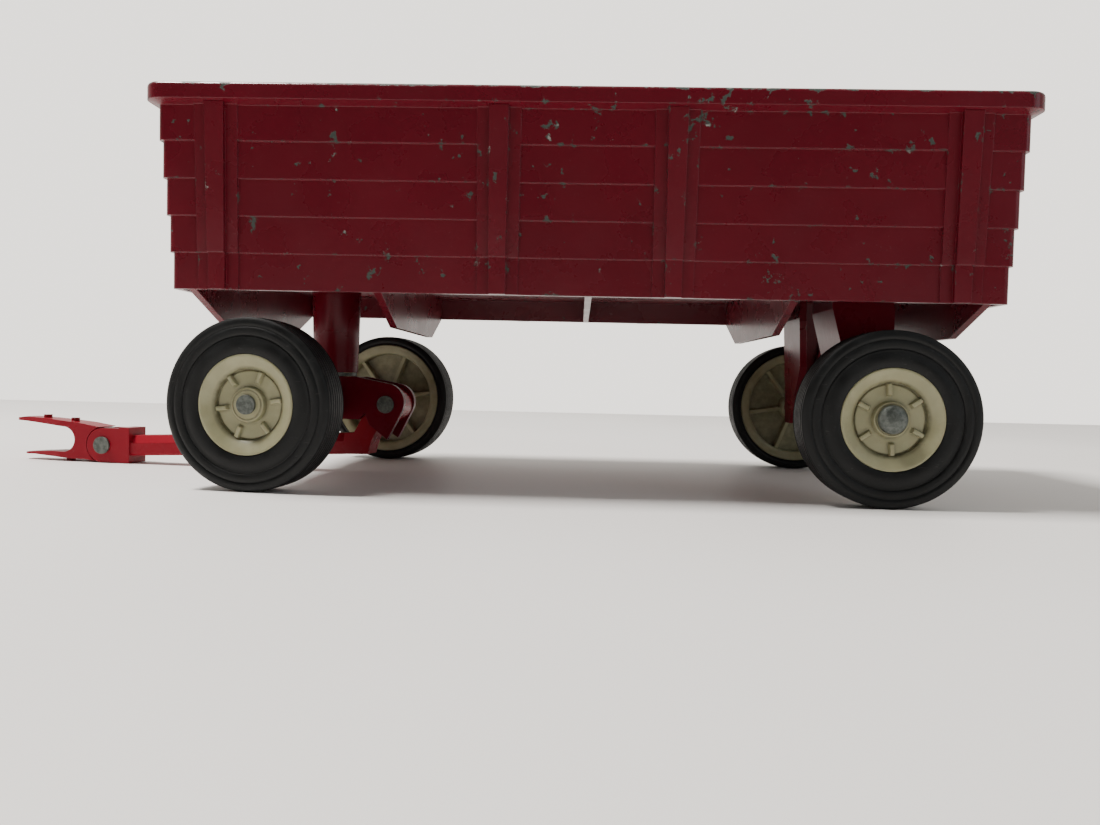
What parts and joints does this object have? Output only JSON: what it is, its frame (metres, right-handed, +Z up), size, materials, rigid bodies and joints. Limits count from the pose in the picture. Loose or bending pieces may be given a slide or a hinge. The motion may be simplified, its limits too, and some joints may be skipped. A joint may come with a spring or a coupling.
{
  "type": "grain wagon",
  "caption": "Toy farm barge wagon with a planked grain box, a steering front truck, rolling wheels, a lifting drawbar and a pivoting U-shaped hitch jaw.",
  "frame": {"origin": "on the ground under the centre of the whole wagon's bounding box, as it stands with its truck turned and its drawbar down", "axes": "+X towards the rear, so the drawbar points along -X; +Y towards the wagon's right side; +Z up"},
  "size_m": [0.3024, 0.1186, 0.1033],
  "materials": {
    "red_paint": "glossy deep red enamel on a zinc casting, chipped along edges",
    "red_hitch": "glossy bright red enamel on a zinc casting",
    "cream_rim": "satin ivory moulded plastic, slightly dusty",
    "rubber": "matt black moulded rubber",
    "bare_steel": "dull grey bare steel"
  },
  "bodies": {
    "wagon": {"wagon_box": "red_paint", "chassis": "red_paint", "chassis_rivets": "bare_steel", "kingpin": "bare_steel", "kingpin_washer": "bare_steel", "rear_axle": "bare_steel", "rear_cap_left": "bare_steel", "rear_cap_right": "bare_steel"},
    "truck": {"steering_truck": "red_paint", "front_axle": "bare_steel", "tongue_pin": "bare_steel"},
    "drawbar": {"tongue": "red_paint", "hitch_rivet": "bare_steel"},
    "jaw": {"hitch_jaw": "red_hitch"},
    "wheel_front_left": {"rim_front_left": "cream_rim", "tyre_front_left": "rubber"},
    "wheel_front_right": {"rim_front_right": "cream_rim", "tyre_front_right": "rubber"},
    "wheel_rear_left": {"rim_rear_left": "cream_rim", "tyre_rear_left": "rubber"},
    "wheel_rear_right": {"rim_rear_right": "cream_rim", "tyre_rear_right": "rubber"}
  },
  "joints": [
    {"name": "truck_steer", "type": "hinge", "parent": "wagon", "child": "truck", "pos_m": [-0.03882, 0, 0.03], "axis": [0, 0, 1], "range_deg": [-31.8, 48.2]},
    {"name": "drawbar_lift", "type": "hinge", "parent": "truck", "child": "drawbar", "pos_m": [-0.02021, -0.00268, 0.0218], "axis": [0.1426, 0.9898, 0], "range_deg": [0, 20]},
    {"name": "jaw_tilt", "type": "hinge", "parent": "drawbar", "child": "jaw", "pos_m": [-0.11731, 0.01131, 0.0058], "axis": [0.1426, 0.9898, 0], "range_deg": [0, 22]},
    {"name": "front_left_roll", "type": "hinge", "parent": "truck", "child": "wheel_front_left", "pos_m": [-0.0461, -0.05053, 0.0225], "axis": [0.1426, 0.9898, 0], "continuous": true},
    {"name": "front_right_roll", "type": "hinge", "parent": "truck", "child": "wheel_front_right", "pos_m": [-0.03154, 0.05053, 0.0225], "axis": [0.1426, 0.9898, 0], "continuous": true},
    {"name": "rear_left_roll", "type": "hinge", "parent": "wagon", "child": "wheel_rear_left", "pos_m": [0.11658, -0.05105, 0.0225], "axis": [0, 1, 0], "continuous": true},
    {"name": "rear_right_roll", "type": "hinge", "parent": "wagon", "child": "wheel_rear_right", "pos_m": [0.11658, 0.05105, 0.0225], "axis": [0, 1, 0], "continuous": true}
  ]
}
